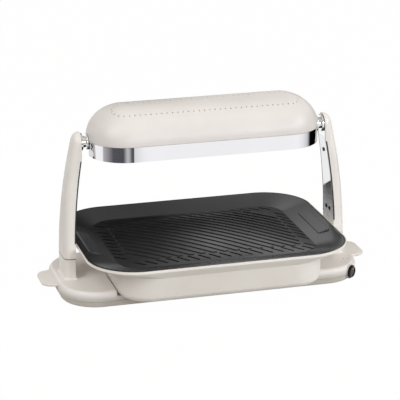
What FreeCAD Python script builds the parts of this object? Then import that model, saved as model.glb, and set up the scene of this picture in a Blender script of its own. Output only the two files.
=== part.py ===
import FreeCAD, Part
import math
import os

V = FreeCAD.Vector

# An indoor electric grill. Millimetres, +Z up, X across the front, -Y towards the person who cooks.
# The origin is under the middle of the base, on the table.

# How deep one body runs into the next before they are joined, so that no faces merely touch
overlap = 1.0

# Grill pan
pan_length = 398.4
pan_depth = 302.4
pan_corner = 72.5
pan_rim_top = 76.3
pan_rim_height = 3.3
pan_rim_lip = 3.0
pan_rim_seat = 2.0
pan_underside_inset = 2.0
pan_wall = 3.0
pan_flange_x = 45.0
pan_flange_y = 39.0
pan_floor_corner = 36.0
pan_flange_drop = 9.8
dome_rise = 8.0
ridge_pitch = 12.6
ridge_width = 5.0
ridge_height = 1.2
ridge_turn = 45.0
ridge_margin = 20.0
ridge_field_corner = 16.0
slot_length = 22.0
slot_width = 3.6
slot_pitch = 16.3
slot_inset_x = 9.0
slot_inset_y = 17.0
slot_count_x = 17
slot_count_y = 11
slot_front_shift = 8.0
slot_back_shift = -0.7
slot_column_shift = 2.0
grip_length = 100.0
grip_width = 19.0
grip_inset = 10.0
grip_rise = 1.5
grip_lean = 4.0
grip_corner = 4.0
grip_edge = 1.2
grip_root = 1.2

# Drip tray
tray_lip = 1.8
tray_rim_width = 4.5
tray_rim_height = 3.5
tray_rim_below_pan = 0.5
tray_rim_clearance = 0.4
tray_shoulder_x = 6.0
tray_shoulder_y = 2.0
tray_shoulder_drop = 3.3
tray_wall = 2.5
tray_floor_height = 19.0
tray_neck_drop = 12.7
tray_side_inset = 40.0
tray_foot_inset = 3.0
tray_front_inset = 8.0
tray_front_lean = 11.0
tray_corner = 60.0
tray_foot_corner = 42.0
tray_foot_round = 11.0
pan_to_funnel = 1.6

# Base
base_depth = 184.0
base_corner = 58.0
base_beyond_arm = 12.0
base_underside = 1.5
base_bottom_inset = 3.5
base_parting = 11.4
base_fold = 17.0
parting_gap = 0.5
parting_tongue = 1.6
tongue_thickness = 1.3
tongue_depth = 3.0
deck_crown = 9.0
deck_crown_inset = 6.0
deck_steps = 5
base_wall = 2.5
base_bevel = 1.8
base_draft = 0.6
saddle_top = 18.0
saddle_gap = 1.2
runner_place = 92.0
runner_width = 9.0
runner_length = 150.0
runner_gap = 0.4
guide_width = 2.0
ear_reach = 22.5
ear_root = 33.0
ear_tip = 28.0
ear_corner = 16.0
ear_thickness = 4.0
ear_edge = 1.2
ear_top = 23.5
post_top = 57.4
post_flare = 4.0
post_steps = 3
post_inner_corner = 2.0

# Arms
arm_to_tray = 3.4
arm_thickness = 17.6
arm_half_depth = 26.0
arm_foot = 58.0
arm_head_radius = 15.8
arm_edge = 10.0
arm_wall = 2.2
arm_lean = 14.1
arm_outer_lean = 22.4
arm_blend = 60.0
arm_upright = 16.0
plate_bottom = 80.0
plate_thickness = 1.2
plate_gap = 0.3
plate_screw_up = 15.0
plate_screw_down = 43.0
plate_screw_apart = 14.0
core_thickness = 2.5
core_inset = 6.0
core_foot_reach = 34.0
core_screw_near = 12.0
core_screw_from_toe = 8.0
core_screw_apart = 24.0
stub_radius = 3.4

# Hinge between arms and head
hinge_height = 232.5
hub_length = 11.8
hub_radius = 13.2
hub_inner_radius = 12.6
hub_neck_radius = 8.5
hub_flange = 3.4
hub_end_gap = 0.3
spigot_wall = 2.9
spigot_length = 9.0
hub_edge = 0.8
shaft_radius = 4.0
shaft_bore = 2.5
bush_wall = 1.5
bush_collar = 2.0
washer_thickness = 0.5
nut_ratio = 1.8
nut_length = 1.8
running_gap = 0.05
seat_gap = 0.3

# Heater head
head_depth = 122.0
head_corner = 56.8
band_bottom = 212.8
band_height = 22.8
band_thickness = 1.2
band_lip = 5.0
dome_gap = 0.3
dome_top = 284.9
dome_edge = 55.5
dome_skirt = 1.0
dome_wall = 2.5
dome_post_radius = 3.6
dome_post_place = 0.55
dome_post_inset = 8.5
head_screw_length = 14.0
vent_radius = 1.4
vent_pitch = 8.15
vent_half_length = 144.0
vent_half_depth = 19.5
vent_corner = 19.0
vent_forward = 16.0
frame_wall = 2.0
frame_ledge = 8.0
frame_boss_wall = 3.0
frame_boss_length = 14.0
tube_radius = 5.5
tube_wall = 1.2
tube_place = 22.0
tube_height = 226.0
tube_length = 290.0
cap_length = 14.0
cap_wall = 1.6
cap_cover = 0.6
bracket_half_thickness = 0.6
element_radius = 1.4
reflector_radius = 18.0
reflector_setback = 35.2
shield_lean = 8.0
shield_brim = 4.0
sheet = 0.8
shield_height = 22.0
grille_wire = 1.1
grille_cross_count = 14
grille_end_inset = 14.0
cutout_radius = 8.0
cutout_height = 9.0
cutout_brim = 1.5
cutout_place = 60.0
tag_width = 4.8
tag_apart = 8.0
tag_height = 5.0

# Control
knob_turn = 41.0
knob_height = 14.2
knob_radius = 10.0
knob_reach = 4.0
knob_face_inset = 2.4
knob_face_depth = 0.8
bezel_width = 1.1
bezel_reach = 1.6
boss_radius = 11.2
boss_depth = 14.0
control_room = 20.0
switch_setback = 12.0
switch_collar_radius = 5.0
switch_collar_length = 4.0
control_shaft_radius = 3.0
control_shaft_end = 3.2
switch_length = 22.0
switch_width = 24.0
switch_half_height = 5.6

# Small parts
foot_radius = 9.0
foot_height = 3.0
foot_place_x = 44.0
foot_place_y = 30.0
boss_outer = 5.0
screw_radius = 1.6
screw_head_radius = 3.0
screw_head_height = 1.8
screw_fit = 0.02
screw_clearance = 0.2
screw_from_edge = 14.0
screw_from_tray_side = 12.0
screw_recess = 0.4
pedestal_height = 4.0
inlet_place = 166.0
inlet_width = 25.0
inlet_height = 11.0
inlet_depth = 20.0
inlet_wall = 2.0
inlet_floor = 5.0
inlet_fit = 0.2
inlet_recess = 0.4
pin_radius = 1.2
pin_length = 14.0
pin_tail = 3.0
pin_spacing = 9.0
block_length = 32.0
block_width = 16.0
block_height = 10.0
block_place_x = 140.0
block_place_y = 30.0
well_radius = 2.2
well_pitch = 9.0
well_floor = 4.0
lead_radius = 2.0
lead_bend = 14.0

# Sizes that follow from the ones above
tray_half_x = pan_length / 2 + tray_lip
tray_half_y = pan_depth / 2 + tray_lip
arm_inner = tray_half_x + arm_to_tray
arm_outer = arm_inner + arm_thickness
base_half_x = arm_outer + base_beyond_arm
base_half_y = base_depth / 2
hinge_face = arm_inner - arm_lean
head_half_x = hinge_face - hub_length
head_half_y = head_depth / 2
arm_top = hinge_height + arm_head_radius
core_offset = max(arm_wall, base_wall) + seat_gap
spigot_radius = shaft_radius + spigot_wall
core_back = hinge_face + core_offset + core_thickness
pan_rim_bottom = pan_rim_top - pan_rim_height
pan_floor_top = pan_rim_top - pan_flange_drop
pan_floor_x = pan_length / 2 - pan_flange_x
pan_floor_y = pan_depth / 2 - pan_flange_y
tray_neck = pan_rim_bottom - tray_neck_drop
tray_body_x = pan_length / 2 - tray_side_inset
tray_body_y = pan_depth / 2 - tray_front_inset + tray_lip
tray_foot_x = tray_body_x - tray_foot_inset
tray_foot_y = tray_body_y - tray_front_lean
deck_top = base_fold + deck_crown
band_top = band_bottom + band_height
dome_bottom = band_top + dome_gap
reflector_half = head_half_x - reflector_setback
knob_centre_x = base_half_x - base_corner
knob_centre_y = -(base_half_y - base_corner)


# Helpers

def rounded(half_x, half_y, radius, z):
    """A closed rounded rectangle about the Z axis at height z."""
    r = min(radius, half_x - 0.01, half_y - 0.01)
    x = half_x - r
    y = half_y - r
    edges = []
    for sx, sy, start in ((1, 1, 0), (-1, 1, 90), (-1, -1, 180), (1, -1, 270)):
        centre = V(sx * x, sy * y, z)
        a = math.radians(start)
        b = math.radians(start + 45)
        c = math.radians(start + 90)
        p, q, s = [centre + V(r * math.cos(t), r * math.sin(t), 0) for t in (a, b, c)]
        if edges:
            edges.append(Part.makeLine(last, p))
        else:
            first = p
        edges.append(Part.Arc(p, q, s).toShape())
        last = s
    edges.append(Part.makeLine(last, first))
    return Part.Wire(edges)


def slab(half_x, half_y, radius, bottom, top):
    face = Part.Face(rounded(half_x, half_y, radius, bottom))
    return face.extrude(V(0, 0, top - bottom))


def loft(sections, ruled=True):
    """A solid through rounded rectangles given as (half_x, half_y, radius, z)."""
    return Part.makeLoft([rounded(*s) for s in sections], True, ruled)


def block(x0, x1, y0, y1, z0, z1):
    return Part.makeBox(x1 - x0, y1 - y0, z1 - z0, V(x0, y0, z0))


def rod(radius, start, direction, length):
    return Part.makeCylinder(radius, length, V(*start), V(*direction))


def across(radius, x0, x1, y=0.0, z=hinge_height):
    """A round bar along X."""
    return Part.makeCylinder(radius, x1 - x0, V(x0, y, z), V(1, 0, 0))


def fused(shapes):
    body = shapes[0].fuse(list(shapes[1:])) if len(shapes) > 1 else shapes[0]
    return body.removeSplitter()


def other_side(shape):
    return shape.mirror(V(0, 0, 0), V(1, 0, 0))


def save(name, *shapes):
    solids = [s for shape in shapes for s in shape.Solids]
    body = solids[0] if len(solids) == 1 else Part.makeCompound(solids)
    body.exportStep("parts/" + name + ".step")


# Grill pan

def floor_ring(inset, z):
    return (pan_floor_x - inset, pan_floor_y - inset, pan_floor_corner - inset, z)


def dome_surface(rise):
    """The crowned cooking surface: a biquadratic patch that is level along its four edges."""
    patch = Part.BezierSurface()
    patch.increase(2, 2)
    for i in range(3):
        for j in range(3):
            x = (i - 1) * pan_floor_x
            y = (j - 1) * pan_floor_y
            lift = 4 * dome_rise if i == j == 1 else 0
            patch.setPole(i + 1, j + 1, V(x, y, pan_floor_top + lift + rise))
    return patch.toShape()


def ridge_bars():
    """Diagonal bars that cover the whole field, long and tall enough to be trimmed."""
    reach = pan_floor_x + pan_floor_y
    count = int(reach / ridge_pitch / 2)
    bars = []
    for k in range(-count, count + 1):
        middle = k * ridge_pitch
        bar = block(-reach, reach, middle - ridge_width / 2, middle + ridge_width / 2,
                    pan_floor_top - 1, pan_floor_top + 2 * dome_rise)
        bar.rotate(V(0, 0, 0), V(0, 0, 1), -ridge_turn)
        bars.append(bar)
    return bars


def ridges():
    under_tops = dome_surface(ridge_height).extrude(V(0, 0, -ridge_height - pan_wall / 2))
    field = slab(pan_floor_x - ridge_margin, pan_floor_y - ridge_margin - slot_inset_y + slot_inset_x,
                 ridge_field_corner, pan_floor_top - pan_wall, pan_rim_top + dome_rise)
    field = under_tops.common(field)
    return [field.common(bar) for bar in ridge_bars()]


def slot_places():
    """Centres of the drain slots: two rows along X and two columns along Y."""
    row_y = pan_floor_y - slot_inset_y
    column_x = pan_floor_x - slot_inset_x
    places = []
    for side in (-1, 1):
        for i in range(slot_count_x):
            x = (i - (slot_count_x - 1) / 2) * slot_pitch
            places.append((x + (slot_back_shift if side > 0 else slot_front_shift), side * row_y))
        for i in range(slot_count_y):
            y = (i - (slot_count_y - 1) / 2) * slot_pitch
            places.append((side * column_x, y - side * slot_column_shift))
    return places


def slot_cutter(x, y):
    half = slot_length / 2 - slot_width / 2
    r = slot_width / 2
    z = pan_floor_top - 2 * pan_wall
    wire = Part.Wire([
        Part.makeLine(V(-half, r, z), V(half, r, z)),
        Part.Arc(V(half, r, z), V(half + r, 0, z), V(half, -r, z)).toShape(),
        Part.makeLine(V(half, -r, z), V(-half, -r, z)),
        Part.Arc(V(-half, -r, z), V(-half - r, 0, z), V(-half, r, z)).toShape(),
    ])
    cutter = Part.Face(wire).extrude(V(0, 0, 4 * pan_wall + dome_rise))
    cutter.rotate(V(0, 0, 0), V(0, 0, 1), -ridge_turn)
    cutter.translate(V(x, y, 0))
    return cutter


def grip_block(side):
    """A wedge on the pan's end flange: it lies on the flange's slope and leans up towards the rim."""
    x = pan_length / 2 - grip_inset - grip_width / 2
    flange_run = pan_length / 2 - pan_rim_lip - pan_floor_x
    fall = (pan_rim_top - pan_floor_top) / flange_run
    surface = pan_rim_top - (pan_length / 2 - pan_rim_lip - x) * fall
    bar = slab(grip_width / 2, grip_length / 2, grip_corner, -grip_root, grip_rise)
    edges = [e for e in bar.Edges if min(v.Z for v in e.Vertexes) > grip_rise - 0.01]
    bar = bar.makeFillet(grip_edge, edges)
    bar.rotate(V(0, 0, 0), V(0, 1, 0), -math.degrees(math.atan(fall)) - grip_lean)
    bar.translate(V(x, 0, surface))
    return bar if side > 0 else bar.mirror(V(0, 0, 0), V(1, 0, 0))


def grill_pan():
    half_x = pan_length / 2
    half_y = pan_depth / 2
    rim = slab(half_x, half_y, pan_corner, pan_rim_bottom, pan_rim_top)
    under = pan_rim_lip + pan_rim_seat
    dish = loft([
        (half_x - under, half_y - under, pan_corner - under, pan_rim_bottom),
        floor_ring(pan_underside_inset, pan_floor_top - pan_wall),
    ])
    hollow = loft([
        (half_x - pan_rim_lip, half_y - pan_rim_lip, pan_corner - pan_rim_lip, pan_rim_top),
        floor_ring(0, pan_floor_top),
    ])
    shell = rim.fuse(dish).cut(hollow)
    crown = dome_surface(0).extrude(V(0, 0, -pan_wall))
    crown = crown.common(slab(*floor_ring(overlap, pan_floor_top - 2 * pan_wall), pan_rim_top + dome_rise))
    below = dome_surface(-pan_wall).extrude(V(0, 0, -2 * pan_wall - dome_rise))
    window = slab(*floor_ring(pan_underside_inset, pan_floor_top - 2 * pan_wall), pan_floor_top + dome_rise)
    shell = shell.cut(below.common(window))
    pan = fused([shell, crown] + ridges())
    pan = pan.cut([slot_cutter(x, y) for x, y in slot_places()])
    return fused([pan, grip_block(-1), grip_block(1)])


# Drip tray

def tray_ring(inset, z):
    """The outline shared by the tray's rim and the pan, drawn in by inset."""
    return (tray_half_x - inset, tray_half_y - inset, pan_corner + tray_lip - inset, z)


def foot_rounded(foot, level, radius):
    """Rounds the bottom edges of the tray's foot, or of the space inside it."""
    bottom = [e for e in foot.Edges if max(v.Z for v in e.Vertexes) < level + 0.01]
    return foot.makeFillet(radius, bottom)


def tray_outside():
    rim_top = pan_rim_top - tray_rim_below_pan
    rim_bottom = rim_top - tray_rim_height
    foot = loft([
        (tray_foot_x, tray_foot_y, tray_foot_corner, tray_floor_height),
        (tray_body_x, tray_body_y, tray_corner, tray_neck),
    ])
    funnel = loft([
        (tray_body_x, tray_body_y, tray_corner, tray_neck),
        (tray_half_x - tray_shoulder_x, tray_half_y - tray_shoulder_y, pan_corner,
         rim_bottom - tray_shoulder_drop),
        tray_ring(0, rim_bottom),
    ])
    rim = slab(*tray_ring(0, rim_bottom), rim_top)
    return fused([foot_rounded(foot, tray_floor_height, tray_foot_round), funnel, rim])


def tray_inside():
    """The space in the tray, with the ledge and the rebate that hold the pan's rim."""
    w = tray_wall
    floor = tray_floor_height + w
    ledge_bottom = pan_rim_bottom - pan_to_funnel
    foot = loft([
        (tray_foot_x - w, tray_foot_y - w, tray_foot_corner - w, floor),
        (tray_body_x - w, tray_body_y - w, tray_corner - w, tray_neck + w),
    ])
    funnel = loft([
        (tray_body_x - w, tray_body_y - w, tray_corner - w, tray_neck + w),
        tray_ring(tray_rim_width, ledge_bottom),
    ])
    throat = slab(*tray_ring(tray_rim_width, ledge_bottom), pan_rim_bottom)
    rebate = slab(*tray_ring(tray_lip - tray_rim_clearance, pan_rim_bottom), pan_rim_top)
    return fused([foot_rounded(foot, floor, tray_foot_round - w), funnel, throat, rebate])


def drip_tray():
    return fused([tray_outside().cut(tray_inside())] + tray_guides())


def tray_guides():
    """Fins under the tray that straddle the base's runners, and a stop lug across each front end."""
    depth = tray_floor_height - saddle_top - running_gap
    inner = runner_width / 2 + runner_gap
    length = tray_foot_y - 2 * tray_foot_round
    fins = []
    for side in (-1, 1):
        x = side * runner_place
        for hand in (-1, 1):
            low = x + hand * inner if hand > 0 else x + hand * inner - guide_width
            fins.append(block(low, low + guide_width, -length, length,
                              tray_floor_height - depth, tray_floor_height + 1))
        front = -runner_length / 2 - runner_gap
        fins.append(block(x - inner - guide_width, x + inner + guide_width, front - guide_width, front,
                          tray_floor_height - depth, tray_floor_height + 1))
    return fins


# Base

def base_ring(inset, z):
    return (base_half_x - inset, base_half_y - inset, base_corner - inset, z)


def knob_axis():
    turn = math.radians(knob_turn)
    return V(math.sin(turn), -math.cos(turn), 0)


def on_knob_axis(radius, start, length):
    """A round bar on the control's axis, start measured outwards from the corner's centre."""
    axis = knob_axis()
    foot = V(knob_centre_x, knob_centre_y, knob_height) + axis * start
    return Part.makeCylinder(radius, length, foot, axis)


def control_boss():
    return on_knob_axis(boss_radius, base_corner - boss_depth, boss_depth + seat_gap)


def control_clearance():
    inner = base_corner - base_wall - control_room
    room = on_knob_axis(boss_radius - base_wall, inner, control_room)
    hole = on_knob_axis(control_shaft_radius + seat_gap, inner, control_room + 2 * base_wall)
    return room.fuse(hole)


def inlet_opening():
    return block(inlet_place - inlet_width / 2, inlet_place + inlet_width / 2,
                 base_half_y - inlet_depth, base_half_y + 5,
                 base_parting - inlet_height / 2, base_parting + inlet_height / 2)


def screw_places():
    """Where the two base shells are screwed together, clear of the arm feet and the control."""
    edge = base_half_y - screw_from_edge
    middle = tray_foot_x / 3
    wide = tray_foot_x - screw_from_tray_side
    return [(s * x, t * edge) for x in (middle, wide) for s in (-1, 1) for t in (-1, 1)]


def foot_places():
    x = base_half_x - foot_place_x
    y = base_half_y - foot_place_y
    return [(s * x, t * y) for s in (-1, 1) for t in (-1, 1)]


def bottom_housing():
    top = base_parting - parting_gap / 2
    outer = loft([base_ring(base_bottom_inset + base_bevel, base_underside),
                  base_ring(base_bottom_inset, base_underside + base_bevel),
                  base_ring(base_draft, top)])
    w = base_wall
    hollow = loft([base_ring(base_bottom_inset + w, base_underside + w), base_ring(w + base_draft, top)])
    tongue_outside = w + base_draft
    tongue_inside = tongue_outside + tongue_thickness
    tongue = slab(*base_ring(tongue_outside, top - tongue_depth), top + parting_tongue)
    tongue = tongue.cut(slab(*base_ring(tongue_inside, top - tongue_depth - 1), top + parting_tongue + 1))
    boss_room = on_knob_axis(boss_radius + seat_gap, base_corner - boss_depth - overlap, boss_depth + 5)
    tongue = tongue.cut([boss_room, inlet_opening()])
    shell = fused([outer.cut(hollow), tongue])
    low = base_underside + w - overlap / 2
    added = [rod(boss_outer, (x, y, low), (0, 0, 1), top - low) for x, y in screw_places()]
    added += [rod(foot_radius + w, (x, y, low), (0, 0, 1), w) for x, y in foot_places()]
    added += [pedestal.common(outer) for pedestal in core_pedestals() + [switch_pedestal()]]
    added.append(control_boss().common(block(0, base_half_x + 9, -base_depth, 0, base_underside, top)))
    shell = fused([shell] + added)
    up = (0, 0, 1)
    cuts = [rod(screw_radius + screw_clearance, (x, y, 0), up, base_parting) for x, y in screw_places()]
    cuts += [rod(screw_radius + screw_fit, (s * x, y, core_foot_level() - pedestal_height + overlap / 2), up,
                 pedestal_height) for s in (-1, 1) for x, y in core_screw_places()]
    head_room = base_underside + screw_head_height + screw_recess
    cuts += [rod(screw_head_radius + seat_gap, (x, y, 0), up, head_room) for x, y in screw_places()]
    cuts += [rod(foot_radius + seat_gap, (x, y, 0), (0, 0, 1), foot_height) for x, y in foot_places()]
    cuts += [control_clearance(), inlet_opening()]
    return shell.cut(cuts)


def deck_sections(inset, drop):
    """Rounded rectangles up the crowned deck, drawn in and down for the inside of the wall."""
    rings = []
    for i in range(deck_steps + 1):
        turn = math.radians(90 * i / deck_steps)
        z = base_fold - drop + deck_crown * math.sin(turn)
        rings.append(base_ring(inset + deck_crown_inset * (1 - math.cos(turn)), z))
    return rings


def post_outline(inset, z, grow=0.0):
    """The post's section: square to the pan, round on its two outer corners."""
    x0 = arm_inner + inset - grow
    x1 = arm_outer - inset + grow
    y = arm_half_depth - inset + grow
    r = max(arm_edge - inset, 1.0) + grow
    k = max(post_inner_corner - inset / 2, 0.6)
    s = math.sqrt(0.5)
    points = [V(x0 + k, -y, z), V(x1 - r, -y, z), V(x1, -y + r, z), V(x1, y - r, z),
              V(x1 - r, y, z), V(x0 + k, y, z), V(x0, y - k, z), V(x0, -y + k, z)]
    bulge = [V(x1 - r + r * s, -y + r - r * s, z), V(x1 - r + r * s, y - r + r * s, z),
             V(x0 + k - k * s, y - k + k * s, z), V(x0 + k - k * s, -y + k - k * s, z)]
    edges = []
    for i in range(4):
        a, b, c = points[2 * i], points[2 * i + 1], points[(2 * i + 2) % 8]
        edges.append(Part.makeLine(a, b))
        edges.append(Part.Arc(b, bulge[i], c).toShape())
    return Part.Wire(edges)


def post(inset, bottom, top):
    return Part.Face(post_outline(inset, bottom)).extrude(V(0, 0, top - bottom))


def post_root():
    """The sweep of the deck up into the post, a quarter circle in section."""
    base = deck_top - overlap
    rings = []
    for i in range(post_steps + 1):
        turn = math.radians(90 * i / post_steps)
        rings.append(post_outline(0, base + post_flare * math.sin(turn),
                                  post_flare * (1 - math.sin(turn)) * (1 - i / post_steps)))
    return Part.makeLoft(rings, True, True)


def ear():
    """A flat tab to lift the grill by."""
    root = base_half_x - base_wall
    tip = base_half_x + ear_reach
    bottom = ear_top - ear_thickness
    points = [V(root, -ear_root, bottom), V(tip, -ear_tip, bottom), V(tip, ear_tip, bottom),
              V(root, ear_root, bottom)]
    face = Part.Face(Part.makePolygon(points + points[:1]))
    tab = face.extrude(V(0, 0, ear_thickness))
    upright = [e for e in tab.Edges if abs(e.Vertexes[0].Z - e.Vertexes[1].Z) > 1
               and e.Vertexes[0].X > tip - 1]
    tab = tab.makeFillet(ear_corner, upright)
    flat = [e for e in tab.Edges if abs(e.Vertexes[0].Z - e.Vertexes[1].Z) < 0.01
            and max(v.X for v in e.Vertexes) > root + 1]
    return tab.makeFillet(ear_edge, flat)


def deck_housing():
    bottom = base_parting + parting_gap / 2
    w = base_wall
    outer = fused([loft([base_ring(base_draft, bottom), base_ring(0, base_fold)]),
                   loft(deck_sections(0, 0), False)])
    inner = fused([loft([base_ring(w, bottom - 1), base_ring(w, base_fold - w)]),
                   loft(deck_sections(w, w), False)])
    lowered = base_depth
    channel = block(-tray_body_x + tray_foot_inset - saddle_gap, tray_body_x - tray_foot_inset + saddle_gap,
                    -lowered, lowered, saddle_top, pan_rim_top)
    under = block(-tray_foot_x - saddle_gap - w, tray_foot_x + saddle_gap + w,
                  -lowered, lowered, saddle_top - w, pan_rim_top)
    posts = [post(0, base_fold, post_top), post_root()]
    solid = fused([outer.cut(channel)] + posts + [other_side(p) for p in posts])
    shell = solid.cut(inner.cut(under))
    room = post(w, base_fold - w, post_top + 1)
    shell = shell.cut([room, other_side(room)])
    tab = ear()
    added = [tab.cut(inner), other_side(tab.cut(inner))]
    boss = control_boss().common(block(0, base_half_x + 9, -base_depth, 0, bottom, deck_top + 9))
    added.append(boss)
    added += [rod(boss_outer, (x, y, bottom), (0, 0, 1), saddle_top - 1 - bottom) for x, y in screw_places()]
    for side in (-1, 1):
        x = side * runner_place
        added.append(block(x - runner_width / 2, x + runner_width / 2, -runner_length / 2,
                           runner_length / 2, saddle_top - 1, tray_floor_height))
    shell = fused([shell] + added)
    cuts = [rod(screw_radius + screw_fit, (x, y, 0), (0, 0, 1), saddle_top - w) for x, y in screw_places()]
    return shell.cut(cuts + [control_clearance(), inlet_opening()])


def rubber_feet():
    return [rod(foot_radius, (x, y, 0), (0, 0, 1), foot_height) for x, y in foot_places()]


def upright_screw(x, y, z, length, head_below=True):
    """A pan-head screw along Z with its head's face at z."""
    way = 1 if head_below else -1
    head = rod(screw_head_radius, (x, y, z), (0, 0, way), screw_head_height)
    shank = rod(screw_radius, (x, y, z), (0, 0, way), length)
    return head.fuse(shank).removeSplitter()


def base_screws():
    z = base_underside + screw_recess
    return [upright_screw(x, y, z, saddle_top - base_wall - 1 - z) for x, y in screw_places()]


# Arms

def arm_radii():
    """The inner face's two blend arcs: the lean is shared between a long arc and a short one."""
    rise = hinge_height - arm_upright - arm_foot
    turn = 2 * math.atan(arm_lean / rise)
    return rise / math.sin(turn) - arm_blend, turn


def inner_edges(offset, top):
    """The arm's inner face in side view, moved outwards by offset, from its foot to top."""
    radius, turn = arm_radii()
    long_centre = V(arm_inner - radius, 0, arm_foot)
    short_centre = V(hinge_face + arm_blend, 0, hinge_height - arm_upright)

    def on_long(t):
        return long_centre + V(math.cos(t), 0, math.sin(t)) * (radius + offset)

    def on_short(t):
        return short_centre - V(math.cos(t), 0, math.sin(t)) * (arm_blend - offset)

    return [
        Part.Arc(on_long(0), on_long(turn / 2), on_long(turn)).toShape(),
        Part.Arc(on_short(turn), on_short(turn / 2), on_short(0)).toShape(),
        Part.makeLine(on_short(0), V(hinge_face + offset, 0, top)),
    ]


def outer_radius():
    rise = arm_top - arm_foot
    return (rise ** 2 + arm_outer_lean ** 2) / (2 * arm_outer_lean)


def outer_edge(offset, top):
    """The arm's outer face in side view, drawn in by offset, from top down to its foot."""
    radius = outer_radius()
    centre = V(arm_outer - radius, 0, arm_foot)
    end = math.asin((top - arm_foot) / (radius - offset))

    def on_arc(t):
        return centre + V(math.cos(t), 0, math.sin(t)) * (radius - offset)

    return Part.Arc(on_arc(end), on_arc(end / 2), on_arc(0)).toShape()


def closed_profile(first, second):
    """A face from two runs of edges, the second running back, joined by straight ends."""
    a = first[0].Vertexes[0].Point
    b = first[-1].Vertexes[-1].Point
    c = second[0].Vertexes[0].Point
    d = second[-1].Vertexes[-1].Point
    return Part.Face(Part.Wire(first + [Part.makeLine(b, c)] + second + [Part.makeLine(d, a)]))


def turned_back(edges):
    """The same edges run the other way."""
    back = []
    for e in reversed(edges):
        a, b = e.Vertexes[0].Point, e.Vertexes[-1].Point
        if abs(e.Length - a.distanceToPoint(b)) < 1e-6:
            back.append(Part.makeLine(b, a))
        else:
            middle = e.valueAt((e.FirstParameter + e.LastParameter) / 2)
            back.append(Part.Arc(b, middle, a).toShape())
    return back


def arm_side(inset, bottom, top):
    """The arm's outline seen along X: straight sides that run tangent into a round head."""
    r = arm_head_radius - inset
    b = arm_half_depth - inset
    rise = hinge_height - arm_foot
    reach = math.hypot(b, rise)
    lean = math.asin(r / reach) - math.atan2(b, rise)
    y = r * math.cos(lean)
    z = hinge_height - r * math.sin(lean)
    edges = [
        Part.makeLine(V(0, -b, arm_foot), V(0, b, arm_foot)),
        Part.makeLine(V(0, b, arm_foot), V(0, y, z)),
        Part.Arc(V(0, y, z), V(0, 0, hinge_height + r), V(0, -y, z)).toShape(),
        Part.makeLine(V(0, -y, z), V(0, -b, arm_foot)),
    ]
    outline = Part.Face(Part.Wire(edges)).extrude(V(base_half_x + 50, 0, 0))
    return outline.common(block(0, base_half_x + 50, -100, 100, bottom, top))


def slice_of_arm(face, inset, bottom, top):
    face.translate(V(0, -arm_half_depth - 5, 0))
    return face.extrude(V(0, 2 * arm_half_depth + 10, 0)).common(arm_side(inset, bottom, top))


def arm_solid(open_by, wall, inset, bottom, top):
    """The whole arm, or with a wall and inset the space inside it."""
    profile = closed_profile(inner_edges(open_by, arm_top + 1), [outer_edge(wall, arm_top + 1)])
    body = slice_of_arm(profile, inset, bottom, top)
    centre = V(arm_outer - outer_radius(), 0, arm_foot)

    def outside(p):
        return abs(math.hypot(p.x - centre.x, p.z - centre.z) - outer_radius() + wall) < 0.02

    rims = [e for e in body.Edges if outside(e.valueAt(e.FirstParameter))
            and outside(e.valueAt(e.LastParameter))
            and outside(e.valueAt((e.FirstParameter + e.LastParameter) / 2))
            and e.valueAt((e.FirstParameter + e.LastParameter) / 2).z > bottom + 1]
    return body.makeFillet(arm_edge - wall, rims)


def arm_shell():
    whole = arm_solid(0, 0, 0, arm_foot, arm_top + 1)
    w = arm_wall
    foot_room = arm_solid(w, w, w, arm_foot, plate_bottom + 2)
    main_room = arm_solid(-1, w, w, arm_foot, arm_top + 1)
    main_room = main_room.common(block(0, base_half_x, -50, 50, plate_bottom - plate_gap, arm_top))
    return whole.cut([foot_room, main_room])


def plate_screw_places():
    low = plate_bottom + plate_screw_up
    high = hinge_height - plate_screw_down
    return [(plate_screw_apart / 2, low), (-plate_screw_apart / 2, low), (0.0, high)]


def through_plate(radius, start, end):
    """Round bars square to the inner face at the plate's three screws, from depth start to end."""
    face_radius, turn = arm_radii()
    bars = []
    for y, z in plate_screw_places():
        lean = math.asin((z - arm_foot) / face_radius)
        inward = V(math.cos(lean), 0, math.sin(lean))
        foot = V(arm_inner - face_radius, y, arm_foot) + inward * (face_radius + start)
        bars.append(Part.makeCylinder(radius, end - start, foot, inward))
    return bars


def arm_plate():
    w = arm_wall + plate_gap
    profile = closed_profile(inner_edges(0, arm_top), turned_back(inner_edges(plate_thickness, arm_top)))
    plate = slice_of_arm(profile, w, plate_bottom, arm_top)
    cuts = [across(bush_radius() + bush_collar + seat_gap, hinge_face - 1, hinge_face + 5)]
    return plate.cut(cuts + through_plate(screw_radius + screw_clearance, -3, 6))


def plate_screws():
    heads = through_plate(screw_head_radius, -1.2, -0.05)
    shanks = through_plate(screw_radius, -1.0, core_offset + core_thickness + 1.5)
    return [fused(pair) for pair in zip(heads, shanks)]


def core_foot_level():
    return base_underside + base_wall + pedestal_height


def core_pedestals():
    floor = base_underside + base_wall
    x1 = arm_inner + core_offset + core_thickness + 1
    pads = block(x1 - core_foot_reach - 2, x1, -arm_half_depth + core_inset, arm_half_depth - core_inset,
                 floor - overlap / 2, core_foot_level())
    return [pads, other_side(pads)]


def core_screw_places():
    x1 = arm_inner + core_offset
    reaches = (core_screw_near, core_foot_reach - core_screw_from_toe)
    return [(x1 - reach, t * core_screw_apart / 2) for reach in reaches for t in (-1, 1)]


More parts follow.
